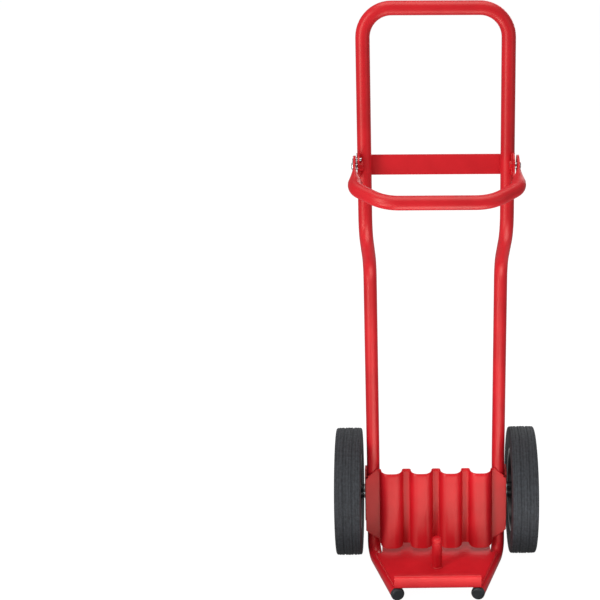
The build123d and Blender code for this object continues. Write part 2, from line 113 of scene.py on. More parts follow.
# %% Camera
LENS = 84.66
DISTANCE = 2.5463
EYE_HEIGHT = 1.3487
LOOK_DOWN = math.radians(18)
LOOK_ASIDE = math.radians(1.1)
LEAN = math.radians(-0.1)
SIDE_SHIFT = -0.2253
FAR_CLIP = 300.0

camera = bpy.data.objects.new("camera", bpy.data.cameras.new("camera"))
bpy.context.scene.collection.objects.link(camera)
camera.location = (
    -DISTANCE * math.sin(LOOK_ASIDE),
    AXLE_Y * MM - DISTANCE * math.cos(LOOK_ASIDE),
    EYE_HEIGHT,
)
turn = Matrix.Rotation(-LOOK_ASIDE, 3, "Z")
tilt = Matrix.Rotation(math.pi / 2 - LOOK_DOWN, 3, "X")
camera.rotation_euler = (turn @ tilt @ Matrix.Rotation(LEAN, 3, "Z")).to_euler()
camera.data.lens = LENS
camera.data.shift_x = SIDE_SHIFT
camera.data.clip_end = FAR_CLIP
bpy.context.scene.camera = camera
print("camera at", [round(v, 3) for v in camera.location])

# %% [markdown]
# Catalogue light on white. A tall soft light from the front left makes the long pale streak down each tube,
# a weaker one from the right keeps the far side red instead of black, one above lights the handle and the
# toe plate, and one behind lights the back. Two lie on the floor in front and face up, as a lit table does:
# low tubes and the toe plate's lip reflect them. The room itself is dim, because a deep red turns pink when
# a white room is reflected in it.

# %% Light
def srgb(hex_colour):
    """A six-digit sRGB colour as linear red, green, blue and alpha."""
    parts = [int(hex_colour[i:i + 2], 16) / 255 for i in (0, 2, 4)]
    return [p / 12.92 if p <= 0.04045 else ((p + 0.055) / 1.055) ** 2.4 for p in parts] + [1.0]


def soft_light(name, size, power, place, target):
    """A rectangular studio light that faces a point. The camera doesn't see the light itself."""
    lamp = bpy.data.lights.new(name, "AREA")
    lamp.shape = "RECTANGLE"
    lamp.size, lamp.size_y = size
    lamp.energy = power
    light = bpy.data.objects.new(name, lamp)
    light.location = place
    light.visible_camera = False
    light.rotation_euler = (Vector(target) - Vector(place)).to_track_quat("-Z", "Y").to_euler()
    bpy.context.scene.collection.objects.link(light)


# For each light: its size in metres, its power in watts, its place, and the point that it faces.
LIGHTS = {
    "key_light": ((0.45, 2.8), 51, (-2.15, -2.1, 1.45), (0, 0, 0.55)),
    "fill_light": ((1.6, 2.2), 8, (2.6, -1.8, 1.4), (0, 0, 0.5)),
    "top_light": ((5.0, 5.0), 225, (0, -0.2, 6.0), (0, 0, 0.4)),
    "low_light": ((0.6, 0.75), 6.0, (0.12, -0.57, 0.02), (0.12, -0.57, 1.0)),
    "low_left_light": ((0.4, 2.0), 24, (-0.95, -1.6, 0.02), (-0.95, -1.6, 1.0)),
    "back_light": ((1.8, 2.2), 30, (1.2, 2.8, 1.8), (0, 0, 0.5)),
}
ROOM_STRENGTH = 0.3

for name, values in LIGHTS.items():
    soft_light(name, *values)

room = bpy.data.worlds.new("studio")
bpy.context.scene.world = room
room.use_nodes = True
room.node_tree.nodes["Background"].inputs["Color"].default_value = (1, 1, 1, 1)
room.node_tree.nodes["Background"].inputs["Strength"].default_value = ROOM_STRENGTH
bpy.context.scene.view_settings.view_transform = "Standard"

# %% [markdown]
# Every finish is a small node graph. One helper adds a node with its settings and links, and one function
# per finish says what the real surface is and what that gives the eye.

# %% Material helpers
def new_material(name, **values):
    """A material with plain values on its shader's own sockets; returns the material and the shader."""
    material = bpy.data.materials.new(name)
    material.use_nodes = True
    shader = material.node_tree.nodes["Principled BSDF"]
    for key, value in values.items():
        shader.inputs[key.replace("_", " ")].default_value = value
    return material, shader


def add(material, kind, settings, inputs):
    """Adds one node. Inputs are plain values, or (node, output) pairs that become links."""
    tree = material.node_tree
    node = tree.nodes.new(kind)
    for key, value in settings.items():
        setattr(node, key, value)
    for key, value in inputs.items():
        if isinstance(value, tuple) and hasattr(value[0], "outputs"):
            tree.links.new(value[0].outputs[value[1]], node.inputs[key])
        else:
            node.inputs[key].default_value = value
    return node


def plug(material, node, output, shader, socket):
    """Links one node's output to the shader."""
    material.node_tree.links.new(node.outputs[output], shader.inputs[socket])


def noise(material, place, size_mm, detail=2.0):
    """Cloudy noise whose blotches are about size_mm across."""
    inputs = {"Vector": (place, "Object"), "Scale": 1 / (size_mm * MM), "Detail": detail}
    return add(material, "ShaderNodeTexNoise", {}, inputs)


def two_tones(material, factor, output, low, high, low_at=0.35, high_at=0.65):
    """Runs from one colour to another as the factor goes from low_at to high_at."""
    ramp = add(material, "ShaderNodeValToRGB", {}, {"Fac": (factor, output)})
    stops = ramp.color_ramp.elements
    stops[0].position, stops[1].position = low_at, high_at
    stops[0].color, stops[1].color = srgb(low), srgb(high)
    return ramp


def surface_grain(material, shader, height, strength, depth_mm):
    """Turns a height pattern into fine relief."""
    inputs = {"Height": (height, "Fac"), "Strength": strength, "Distance": depth_mm * MM}
    bump = add(material, "ShaderNodeBump", {}, inputs)
    plug(material, bump, "Normal", shader, "Normal")


# %% [markdown]
# The steel is powder coated: polyester powder is sprayed on dry and baked into one thick skin. It gives an
# even, semi-gloss red, a wide soft highlight, and the slight waviness that painters call orange peel, which
# is about 2 mm across. A little drift in tone over a hand's breadth keeps large areas from looking printed.

# %% Red powder coat
def red_powder_coat():
    """Polyester powder coat on steel."""
    material, shader = new_material("red_powder_coat", Roughness=0.38, IOR=1.5)
    shader.inputs["Specular IOR Level"].default_value = 0.45
    shader.inputs["Specular Tint"].default_value = (1.0, 0.8, 0.66, 1.0)
    place = add(material, "ShaderNodeTexCoord", {}, {})
    tone = two_tones(material, noise(material, place, 70, 3.0), "Fac", "BC121E", "CB1824")
    plug(material, tone, "Color", shader, "Base Color")
    surface_grain(material, shader, noise(material, place, 2.2, 1.5), 0.12, 0.12)
    return material


# %% [markdown]
# The tyres are solid rubber, pressed in a steel mould. Carbon black makes rubber nearly black, and a thin
# bloom of wax that rises to its surface turns it slate grey and almost matt. The mould's sand-blasted face
# leaves a grain of about 1 mm, and worn spots a few millimetres across are darker.

# %% Solid rubber
def solid_rubber():
    """Matt moulded rubber with a grey bloom."""
    material, shader = new_material("solid_rubber", Roughness=0.72, IOR=1.52)
    shader.inputs["Specular IOR Level"].default_value = 0.4
    place = add(material, "ShaderNodeTexCoord", {}, {})
    bloom = two_tones(material, noise(material, place, 4.5, 6.0), "Fac", "1A1C1F", "313439", 0.32, 0.68)
    plug(material, bloom, "Color", shader, "Base Color")
    surface_grain(material, shader, noise(material, place, 1.1, 3.0), 0.5, 0.25)
    return material


# %% [markdown]
# The rims are pressed steel dipped in black enamel, and the rolled lip that grips the tyre is wiped bright.
# One material holds both, because on the real rim it is one sheet: the distance from the axle decides which
# of them shows.

# %% Black enamel rim with a bright lip
LIP_BRIGHT_FROM_MM = 77.6
LIP_BRIGHT_FULL_MM = 78.3


def enamelled_rim():
    """Black enamel that gives way to bare bright steel at the lip."""
    material, shader = new_material("black_enamel_rim", Roughness=0.33, IOR=1.5)
    place = add(material, "ShaderNodeTexCoord", {}, {})
    less_axle = {0: (place, "Object"), 1: (0, AXLE_Y * MM, AXLE_Z * MM)}
    from_axle = add(material, "ShaderNodeVectorMath", {"operation": "SUBTRACT"}, less_axle)
    across_axle = {0: (from_axle, "Vector"), 1: (0, 1, 1)}
    flat = add(material, "ShaderNodeVectorMath", {"operation": "MULTIPLY"}, across_axle)
    radius = add(material, "ShaderNodeVectorMath", {"operation": "LENGTH"}, {0: (flat, "Vector")})
    limits = {"From Min": LIP_BRIGHT_FROM_MM * MM, "From Max": LIP_BRIGHT_FULL_MM * MM}
    lip = add(material, "ShaderNodeMapRange", {}, {"Value": (radius, "Value"), **limits})
    colour = two_tones(material, lip, "Result", "121315", "C9CBCC", 0.0, 1.0)
    plug(material, colour, "Color", shader, "Base Color")
    plug(material, lip, "Result", shader, "Metallic")
    surface_grain(material, shader, noise(material, place, 3.0, 2.0), 0.08, 0.1)
    return material


# %% [markdown]
# Bolts, washers and pins are electroplated with zinc and passivated: bright, slightly cloudy metal with a
# cold tint. The plastic caps and bushes are moulded polyethylene, which is waxy and has a fine spark-eroded
# grain.

# %% Zinc plate and black plastic
def zinc_plate():
    """Bright passivated zinc on steel."""
    material, shader = new_material("zinc_plate", Metallic=1.0, Roughness=0.3)
    place = add(material, "ShaderNodeTexCoord", {}, {})
    cloud = two_tones(material, noise(material, place, 3.5, 4.0), "Fac", "AEB3B6", "D3D5D4")
    plug(material, cloud, "Color", shader, "Base Color")
    surface_grain(material, shader, noise(material, place, 0.8, 2.0), 0.1, 0.05)
    return material


def black_plastic():
    """Moulded black polyethylene."""
    material, shader = new_material("black_plastic", Roughness=0.5, IOR=1.51)
    place = add(material, "ShaderNodeTexCoord", {}, {})
    tone = two_tones(material, noise(material, place, 9, 3.0), "Fac", "1E2226", "2B2F33")
    plug(material, tone, "Color", shader, "Base Color")
    surface_grain(material, shader, noise(material, place, 0.9, 2.0), 0.25, 0.1)
    return material


FINISHES = {
    "red_powder_coat": red_powder_coat(),
    "solid_rubber": solid_rubber(),
    "rim_steel": enamelled_rim(),
    "zinc_plate": zinc_plate(),
    "black_plastic": black_plastic(),
}
for subpart in frame["record"]["subparts"]:
    slots = nodes[subpart["node"]].data.materials
    slots.clear()
    slots.append(FINISHES[subpart["material_slot"]])
print("finishes", sorted(FINISHES))

# %% [markdown]
# The floor is one wide white sheet that fills the view, so there is no horizon. It glows, as a lit studio
# sweep does, and takes only a faint shadow. It is hidden from the truck's reflections, which keeps the red
# deep.

# %% Floor
FLOOR_HALF = 80.0


def white_floor():
    """A glowing white sheet just under the wheels."""
    material, shader = new_material("studio_floor", Roughness=1.0, Emission_Strength=0.985)
    shader.inputs["Base Color"].default_value = (0.08, 0.08, 0.08, 1)
    shader.inputs["Emission Color"].default_value = (1, 1, 1, 1)
    shader.inputs["Specular IOR Level"].default_value = 0.0
    corners = [(-FLOOR_HALF, -FLOOR_HALF, 0), (FLOOR_HALF, -FLOOR_HALF, 0),
               (FLOOR_HALF, FLOOR_HALF, 0), (-FLOOR_HALF, FLOOR_HALF, 0)]
    mesh = bpy.data.meshes.new("studio_floor")
    mesh.from_pydata(corners, [], [(0, 1, 2, 3)])
    mesh.materials.append(material)
    floor = bpy.data.objects.new("studio_floor", mesh)
    floor.visible_diffuse = False
    floor.visible_glossy = False
    bpy.context.scene.collection.objects.link(floor)
    return floor


white_floor()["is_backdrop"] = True

# %% [markdown]
# Every new piece is one or more closed surfaces, each a grid of points worked out as whole arrays: turned
# round the wheel's axle, or carried along a path. Neighbouring grid lines make the quads, and a line that
# has shrunk to a point is merged into one, so that ends and poles are closed.

# %% Surfaces
SHARP_ANGLE = math.radians(38)
MERGE_MM = 0.004
SIDES = (("left", -1), ("right", 1))
HALF_GAP = 0.05


def quads(rows, columns, wrap_rows, wrap_columns):
    """Corner numbers of every quad of a grid. A wrapped direction joins its last line to its first."""
    row = np.arange(rows if wrap_rows else rows - 1)[:, None]
    column = np.arange(columns if wrap_columns else columns - 1)[None, :]
    next_row, next_column = (row + 1) % rows, (column + 1) % columns
    corners = [(row, column), (row, next_column), (next_row, next_column), (next_row, column)]
    return np.stack([r * columns + c for r, c in corners], axis=-1).reshape(-1, 4)


def make_piece(name, grids, body, slot):
    """One finished piece that rides on a body. Each grid is (points in mm, wrap rows, wrap columns)."""
    points, faces, start = [], [], 0
    for grid, wrap_rows, wrap_columns in grids:
        rows, columns = grid.shape[:2]
        points.append(grid.reshape(-1, 3))
        faces.append(quads(rows, columns, wrap_rows, wrap_columns) + start)
        start += rows * columns
    mesh = bpy.data.meshes.new(name)
    mesh.from_pydata((np.concatenate(points) * MM).tolist(), [], np.concatenate(faces).tolist())
    shell = bmesh.new()
    shell.from_mesh(mesh)
    bmesh.ops.remove_doubles(shell, verts=shell.verts, dist=MERGE_MM * MM)
    bmesh.ops.recalc_face_normals(shell, faces=shell.faces)
    shell.to_mesh(mesh)
    shell.free()
    mesh.shade_smooth()
    mesh.set_sharp_from_angle(angle=SHARP_ANGLE)
    mesh.materials.append(FINISHES[slot])
    piece = bpy.data.objects.new(name, mesh)
    bpy.context.scene.collection.objects.link(piece)
    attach(piece, body)
    print(name, len(mesh.polygons), "faces")
    return piece


def rounded(corners, radii, steps=6, closed=True):
    """An outline with its corners turned into arcs. Where h is half the angle inside a corner, an arc of
    radius r has its centre r / sin(h) along the corner's bisector and touches the sides r / tan(h) away."""
    corners = np.asarray(corners, float)
    path = []
    for n, radius in enumerate(radii):
        corner = corners[n]
        if radius == 0:
            path.append(corner[None])
            continue
        before = corners[n - 1] - corner
        after = corners[(n + 1) % len(corners)] - corner
        before, after = before / np.linalg.norm(before), after / np.linalg.norm(after)
        half = math.acos(np.clip(before @ after, -1, 1)) / 2
        swing = math.pi - 2 * half
        bisector = (before + after) / np.linalg.norm(before + after)
        centre = corner + bisector * radius / math.sin(half)
        first = corner + before * radius / math.tan(half) - centre
        last = corner + after * radius / math.tan(half) - centre
        share = np.linspace(0, 1, steps + 1)[:, None]
        arc = (np.sin((1 - share) * swing) * first + np.sin(share * swing) * last) / math.sin(swing)
        path.append(centre + arc)
    path = np.concatenate(path)
    step = np.linalg.norm(np.roll(path, -1, axis=0) - path, axis=1)
    keep = step > 1e-6
    keep[-1] = keep[-1] or not closed
    return path[keep]


def turned(profile, steps=192):
    """A ring about the wheel's axle. The profile is (sideways place, radius): the point at angle a stands
    radius * sin(a) behind the axle and radius * cos(a) above it."""
    angle = np.linspace(0, 2 * math.pi, steps, endpoint=False)[:, None]
    x = np.broadcast_to(profile[:, 0], (steps, len(profile)))
    y = AXLE_Y + profile[:, 1] * np.sin(angle)
    z = AXLE_Z + profile[:, 1] * np.cos(angle)
    return np.stack([x, y, z], axis=-1), True, True


def carried(path, section, up, closed=False):
    """A section carried along a path. Each point moves off the path by its first number sideways and by its
    second along up, both square to the way the path runs."""
    if closed:
        tangent = np.roll(path, -1, axis=0) - np.roll(path, 1, axis=0)
    else:
        tangent = np.gradient(path, axis=0)
    tangent = tangent / np.linalg.norm(tangent, axis=1, keepdims=True)
    side = np.cross(tangent, np.broadcast_to(up, path.shape))
    side = side / np.linalg.norm(side, axis=1, keepdims=True)
    rise = np.cross(side, tangent)
    points = path[:, None] + side[:, None] * section[..., 0:1] + rise[:, None] * section[..., 1:2]
    return points, closed, True


def circle(radius, steps=12):
    """Points round a circle."""
    angle = np.linspace(0, 2 * math.pi, steps, endpoint=False)
    return radius * np.stack([np.cos(angle), np.sin(angle)], axis=-1)


def evenly(path, spacing):
    """The same path with points a fixed distance apart, found by measuring along it."""
    length = np.concatenate([[0], np.cumsum(np.linalg.norm(np.diff(path, axis=0), axis=1))])
    places = np.linspace(0, length[-1], max(3, int(length[-1] / spacing) + 1))
    return np.stack([np.interp(places, length, path[:, axis]) for axis in range(3)], axis=-1), places


def mirrored_pair(points):
    """The right-hand points and their mirror image."""
    return [points, points * np.array([-1, 1, 1])]


def wheel_middle(side, sign):
    """Sideways place, in mm, of the plane where the two halves of a wheel's rim meet."""
    low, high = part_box(f"{side}_rim_outer_half")
    return (low.x if sign > 0 else high.x) / MM - sign * HALF_GAP


# %% [markdown]
# A solid tyre is a rubber ring with a flat tread. Three ribs run round it, parted by two grooves, and finer
# mould lines run round every rib. The tread is slightly crowned. The CAD ring has the right size but plain
# facets, so a finer ring with the same outline stands for it.

# %% Tyres
TYRE_MM = {
    "half": 25.0, "radius": 125.0, "seat": 75.1, "bead": 19.8, "lip": 83.6, "rim_edge": 22.0, "flank": 91.0,
}
SHOULDER_R = 3.5
FLANK_RING = (104.0, 105.0, 108.0, 109.0)
FLANK_RING_DEPTH = 0.6
TREAD_POINTS = 140
TYRE_STEPS = 256
GROOVES = (-8.5, 8.5)
GROOVE_HALF = 1.2
GROOVE_DEPTH = 1.5
MOULD_LINES = (-20.5, -15.5, -3.2, 3.2, 15.5, 20.5)
MOULD_LINE_DEPTH = 0.75
MOULD_LINE_WIDTH = 0.75
CROWN = 0.5


def tread(x):
    """Radius across the tread: a shallow crown that falls with the square of x, less smooth-sided grooves.
    A groove's side falls as 1 / (1 + (distance / half width) ^ 8), and a mould line is a narrow bell."""
    radius = TYRE_MM["radius"] - CROWN * (x / TYRE_MM["half"]) ** 2
    for middle in GROOVES:
        radius = radius - GROOVE_DEPTH / (1 + np.abs((x - middle) / GROOVE_HALF) ** 8)
    for middle in MOULD_LINES:
        radius = radius - MOULD_LINE_DEPTH * np.exp(-((x - middle) / MOULD_LINE_WIDTH) ** 2)
    return radius


def tyre_profile():
    """Half of the outline in order from seat to shoulder, then the tread, then the other half."""
    seat, bead, lip, half = (TYRE_MM[key] for key in ("seat", "bead", "lip", "half"))
    shoulder = TYRE_MM["radius"] - CROWN
    sunk = half - FLANK_RING_DEPTH
    ring = list(zip((half, sunk, sunk, half), FLANK_RING))
    inside = [(0, seat), (bead, seat), (bead, lip), (TYRE_MM["rim_edge"], lip), (half, TYRE_MM["flank"])]
    corners = inside + ring + [(half, shoulder), (0, shoulder)]
    flank = rounded(corners, [0, 0.8, 0.8, 0.6, 3, 0.5, 0.5, 0.5, 0.5, SHOULDER_R, 0])[:-1]
    across = np.linspace(flank[-1, 0], -flank[-1, 0], TREAD_POINTS)[1:-1]
    crown = np.stack([across, tread(across)], axis=-1)
    other = flank[::-1][:-1] * np.array([-1, 1])
    return np.concatenate([flank, crown, other])


for side, _ in SIDES:
    low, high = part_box(f"{side}_tyre")
    outline = tyre_profile() + np.array([(low.x + high.x) / 2 / MM, 0])
    tyre = make_piece(f"{side}_ribbed_tyre", [turned(outline, TYRE_STEPS)], f"{side}_wheel", "solid_rubber")
    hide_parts(f"{side}_tyre")

# %% [markdown]
# Each rim half is a disc pressed from 2 mm sheet. It steps out to a seat for the tyre and ends in a lip
# turned outwards. A press can't make a sharp corner, so every bend gets a radius, and two raised rings
# pressed into the disc stiffen it. The hub is welded in with a bead on each side.

# %% Rim halves
RIM_MM = {
    "thick": 2.0, "hub": 16.1, "seat": 75.0, "lip": 83.0, "half": 22.0, "step": 7.0, "step_outside": 7.8,
}
RIM_RINGS = ((63, 61, 56, 54), (36, 34, 26, 24))
RIM_RING_RISE = 1.5


def rim_profile():
    """Closed outline of the outer half with rounded bends. A raised ring has two foot and two crest radii."""
    web, thick, hub = HALF_GAP, RIM_MM["thick"], RIM_MM["hub"]
    seat, lip, half = RIM_MM["seat"], RIM_MM["lip"], RIM_MM["half"]
    step, outside_step = RIM_MM["step"], RIM_MM["step_outside"]
    tyre_side = [(web, hub), (web, seat - step), (step, seat)]
    tyre_side += [(half - thick, seat), (half - thick, lip), (half, lip)]
    outside = [(half, seat - thick), (outside_step, seat - thick), (thick, seat - outside_step)]
    crest = thick + RIM_RING_RISE
    for ring in RIM_RINGS:
        outside += zip((thick, crest, crest, thick), ring)
    outside.append((thick, hub))
    radii = [0, 3, 4, 0.6, 0.95, 0.95, 2.4, 2, 3] + 8 * [1] + [0]
    return rounded(tyre_side + outside, radii, steps=5)


for side, sign in SIDES:
    middle = wheel_middle(side, sign)
    for half, way in (("outer", sign), ("inner", -sign)):
        outline = rim_profile() * np.array([way, 1]) + np.array([middle, 0])
        rim = make_piece(f"{side}_pressed_rim_{half}", [turned(outline)], f"{side}_wheel", "rim_steel")
        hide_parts(f"{side}_rim_{half}_half")

# %% [markdown]
# The chisel holder is one sheet pressed into four round-cornered channels. Its middle line is drawn in plan,
# with every corner an arc, and moved half the sheet's thickness each way for its two faces. Each stretch of
# sheet has its own top and bottom height, which clips the wings' corners. The whole sheet leans with the
# lower tubes.

# %% Chisel holder
SHEET_MM = {"thick": 2.0, "low": 42.0, "high": 192.0, "half": 137.0, "gap": 0.5}
CHANNEL_MM = {"width": 44.0, "pitch": 57.5, "depth": 19.5, "count": 4, "bend": 16.0, "root": 3.0}
WING_CUT = {"top_from": 112.0, "top_drop": 22.0, "low_from": 110.0, "low_start": 8.0, "low_end": 26.0}
SHEET_EDGE = 0.5
SHEET_ROWS = 26
WING_POINTS = 24
WING_INNER = 108.5
LEAN_BACK = math.atan2(HEEL[0] - KNEE[0], KNEE[1] - HEEL[1])


def sheet_middle_line():
    """Plan of the sheet as (sideways place, distance in front of its back face)."""
    back = SHEET_MM["thick"] / 2
    reach = CHANNEL_MM["width"] / 2 - back
    front = CHANNEL_MM["depth"] + back
    corners, radii = [(-SHEET_MM["half"], back)], [0]
    for n in range(CHANNEL_MM["count"]):
        middle = (n - (CHANNEL_MM["count"] - 1) / 2) * CHANNEL_MM["pitch"]
        left, right = middle - reach, middle + reach
        corners += [(left, back), (left, front), (right, front), (right, back)]
        radii += [CHANNEL_MM["root"], CHANNEL_MM["bend"], CHANNEL_MM["bend"], CHANNEL_MM["root"]]
    corners.append((SHEET_MM["half"], back))
    return rounded(corners, radii + [0], steps=14, closed=False)


def sheet_heights(x):
    """Bottom and top of the sheet at each sideways place. The wings' corners are cut along straight lines."""
    off = np.abs(x)
    height = SHEET_MM["high"] - SHEET_MM["low"]
    cut_end = SHEET_MM["half"] + 1
    low_from = WING_CUT["low_from"]
    steps = [0, WING_CUT["low_start"], WING_CUT["low_end"]]
    low = np.interp(off, [low_from, low_from + 0.01, cut_end], steps)
    high = height - np.interp(off, [WING_CUT["top_from"], cut_end], [0, WING_CUT["top_drop"]])
    return low, high


def leaning(across, forward, up):
    """Turns places measured on the sheet into the truck's: forward and up both lean back with the tubes."""
    foot = between(HEEL, KNEE, 0)
    forward = forward + TUBE_R + SHEET_MM["gap"]
    up = up + SHEET_MM["low"]
    y = AXLE_Y - foot - forward * math.cos(LEAN_BACK) + up * math.sin(LEAN_BACK)
    z = -forward * math.sin(LEAN_BACK) + up * math.cos(LEAN_BACK)
    return np.stack([across, y, z], axis=-1)


def pressed_sheet():
    """For each point of the middle line, a closed loop round the sheet: up its front, down its back."""
    line = sheet_middle_line()
    wing_x = np.linspace(SHEET_MM["half"] - SHEET_EDGE, WING_INNER, WING_POINTS)
    wing = np.stack([wing_x, np.full(WING_POINTS, line[0, 1])], axis=-1)
    line = np.concatenate([line[:1], wing * np.array([-1, 1]), line[1:-1], wing[::-1], line[-1:]])
    tangent = np.gradient(line, axis=0)
    tangent /= np.linalg.norm(tangent, axis=1, keepdims=True)
    normal = np.stack([-tangent[:, 1], tangent[:, 0]], axis=-1)
    low, high = sheet_heights(line[:, 0])
    half, edge = SHEET_MM["thick"] / 2, SHEET_EDGE
    share = np.linspace(0, 1, SHEET_ROWS)
    face = np.full(SHEET_ROWS, half)
    offset = np.concatenate([face, [half - edge, edge - half], -face, [edge - half, half - edge]])
    up = low[:, None] + edge + (high - low - 2 * edge)[:, None] * share
    top, bottom = high[:, None], low[:, None]
    height = np.concatenate([up, top, top, up[:, ::-1], bottom, bottom], axis=1)
    thin = np.ones(len(line))
    thin[[0, -1]] = 0
    offset = offset[None] * thin[:, None]
    across = line[:, 0:1] + normal[:, 0:1] * offset
    forward = line[:, 1:2] + normal[:, 1:2] * offset
    return leaning(across, forward, height), False, True


holder = make_piece("pressed_chisel_holder", [pressed_sheet()], "frame", "red_powder_coat")
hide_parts("chisel_holder")

# %% [markdown]
# Welds hold the frame together, and the powder coat runs over them. A bead is laid as a row of small
# puddles, each frozen over the last, about 2 mm apart. Its radius therefore rises and drops once in each
# puddle, and wanders a little because a hand held the torch. At an open end the bead is rounded off like a
# ball.

# %% Weld beads
PUDDLE = 2.1
BEAD_STEP = 0.3
BEAD_R = 2.1
FRAME_BEAD = 1.9
AXLE_BEAD = 1.8
SHEET_BEAD = 1.7
EAR_BEAD = 1.6


def bead(path, up, radius=BEAD_R, closed=False):
    """A weld bead along a path in mm. Its radius is the nominal one times 0.9 to 1.06 within each puddle,
    times a slow wave, and times the height of a quarter circle near an open end."""
    path, along = evenly(np.asarray(path, float), BEAD_STEP)
    if closed:
        path, along = path[:-1], along[:-1]
    puddle = (along / PUDDLE) % 1
    wander = 1 + 0.05 * np.sin(along / 6.7) + 0.03 * np.sin(along / 2.9)
    size = radius * (0.9 + 0.16 * np.sqrt(puddle)) * wander
    if not closed:
        to_end = np.minimum(along, along[-1] - along)
        size = size * np.sqrt(1 - np.clip(1 - to_end / radius, 0, 1) ** 2)
    section = circle(1.0, 10)[None] * size[:, None, None]
    return carried(path, section, np.asarray(up, float), closed)


def ring_path(centre, radius, axis):
    """A circle about the X or Z axis, ending where it starts."""
    angle = np.linspace(0, 2 * math.pi, 73)
    a, b = radius * np.cos(angle), radius * np.sin(angle)
    flat = np.zeros_like(a)
    offsets = np.stack([flat, a, b] if axis == "X" else [a, b, flat], axis=-1)
    return centre + offsets


def both_beads(path, up, radius=BEAD_R, closed=False):
    """The same bead on both sides of the truck."""
    right, left = mirrored_pair(np.asarray(path, float))
    up_right, up_left = mirrored_pair(np.asarray(up, float))
    return [bead(right, up_right, radius, closed), bead(left, up_left, radius, closed)]


# %% Where the welds lie
def toe_plate_welds():
    """Along the slanting edges of the toe plate, on the crown of each leg, and under the lip's ends."""
    slope = (LOWER_HALF - TOE_HALF) / (TOE_REACH - HEEL[0])
    outside, below = 0.8, 0.1
    low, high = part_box("toe_plate")
    x_rear, x_front = high.x / MM, PLATE_LIP_HALF
    ends = [(x, HEEL[0] + (LOWER_HALF + PLATE_OVERLAP - x) / slope) for x in (x_rear, x_front)]
    path = [at(x + outside, reach, low.z / MM - below) for x, reach in ends]
    return both_beads(path, (0, 0, 1), FRAME_BEAD)


def strap_welds():
    """In the hollow on each side of each tube, where the strap crosses behind it."""
    low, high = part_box("cross_strap")
    beside, behind, short = 7.4, 11.2, 1.5
    heights = (low.z / MM + short, high.z / MM - short)
    beads = []
    for off in (-beside, beside):
        path = [at(HANDLE_HALF + off, between(S_UPPER, HANDLE_TOP, z) - behind, z) for z in heights]
        beads += both_beads(path, (0, 1, 0), FRAME_BEAD)
    return beads


def bracket_welds():
    """Down each side of the bracket's edge, where it stands on the front of the tube."""
    low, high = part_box("right_pivot_bracket")
    outside, short = 0.4, 1
    heights = (low.z / MM + short, high.z / MM - short)
    beads = []
    for x in (low.x / MM - outside, high.x / MM + outside):
        depth = math.sqrt(TUBE_R ** 2 - (x - HANDLE_HALF) ** 2)
        path = [at(x, between(S_UPPER, HANDLE_TOP, z) + depth, z) for z in heights]
        beads += both_beads(path, (0, -1, 0), EAR_BEAD)
    return beads


def cheek_welds():
    """Down the front and back of each tube against its cheek plate, and round each end of the axle tube."""
    low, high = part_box("right_axle_cheek")
    face = low.x / MM
    tube_side, axle_side, outside = 1.2, 0.8, 0.4
    beads = []
    for off, above_low, below_high in ((6.0, 14, 16), (-6.8, 3, 3)):
        heights = (low.z / MM + above_low, high.z / MM - below_high)
        path = [at(face - tube_side, between(HEEL, KNEE, z) + off, z) for z in heights]
        beads += both_beads(path, (1, 0, 0), FRAME_BEAD)
    ring = ring_path(at(face - axle_side, 0, AXLE_Z), TUBE_R + outside, "X")
    return beads + both_beads(ring, (1, 0, 0), AXLE_BEAD, closed=True)


def holder_welds():
    """Along the sheet's clipped corners, where they cross the tubes, and in stitches behind its wings."""
    across = np.array([113.5, 133.0])
    forward, outside = np.full(2, 0.2), 0.3
    low, high = sheet_heights(across)
    beads = []
    for edge in (high + outside, low - outside):
        beads += both_beads(leaning(across, forward, edge), (0, -1, 0), SHEET_BEAD)
    beside, behind, length = 6.5, 1.0, 20.0
    for start in (30, 66, 102):
        heights = np.array([start, start + length])
        for off in (-beside, beside):
            stitch = leaning(np.full(2, LOWER_HALF + off), np.full(2, -behind), heights)
            beads += both_beads(stitch, (0, 1, 0), SHEET_BEAD)
    return beads


def pin_weld():
    """Round the foot of the tool pin."""
    low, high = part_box("tool_pin")
    middle = np.array([(low.x + high.x) / 2, (low.y + high.y) / 2, low.z]) / MM
    radius = (high.x - low.x) / 2 / MM
    outside = 0.3
    foot = ring_path(middle + np.array([0, 0, outside]), radius + outside, "Z")
    return [bead(foot, (0, 0, 1), SHEET_BEAD, closed=True)]


WELDS = {
    "toe_plate_welds": toe_plate_welds(),
    "strap_welds": strap_welds(),
    "bracket_welds": bracket_welds(),
    "cheek_welds": cheek_welds(),
    "chisel_holder_welds": holder_welds(),
    "tool_pin_weld": pin_weld(),
}
for name, grids in WELDS.items():
    make_piece(name, grids, "frame", "red_powder_coat")

HUB_WELD_R = 16.4
HUB_WELD_OFF = 2.4
for side, sign in SIDES:
    web = wheel_middle(side, sign) + sign * HALF_GAP
    places = [np.array([web + off, AXLE_Y, AXLE_Z]) for off in (-HUB_WELD_OFF, HUB_WELD_OFF)]
    rings = [ring_path(place, HUB_WELD_R, "X") for place in places]
    grids = [bead(ring, (1, 0, 0), SHEET_BEAD, closed=True) for ring in rings]
    make_piece(f"{side}_hub_welds", grids, f"{side}_wheel", "rim_steel")

# %% [markdown]
# A hexagon's corners are turned off on a lathe, which leaves a round face and six curved edges. The radius
# of a hexagon at angle a is its half width divided by the cosine of the angle to the nearest flat's middle.
# The chamfer is a cone, so the face drops by the cone's slope times how far a point lies outside the round
# face.

# %% Bolts and nuts of the rims
RIM_BOLT_MM = {"pcd": 90.0, "count": 4, "flats": 10.0, "radius": 3.0, "head": 3.9, "nut": 4.9, "web": 2.1}
RIM_BOLT_SHANK = 12.1
CONE = math.tan(math.radians(30))
ROUND_FACE = 0.94
THREAD_DEPTH = 0.1
TAPER_MM = 1.2
TIP_SHARE = 0.72


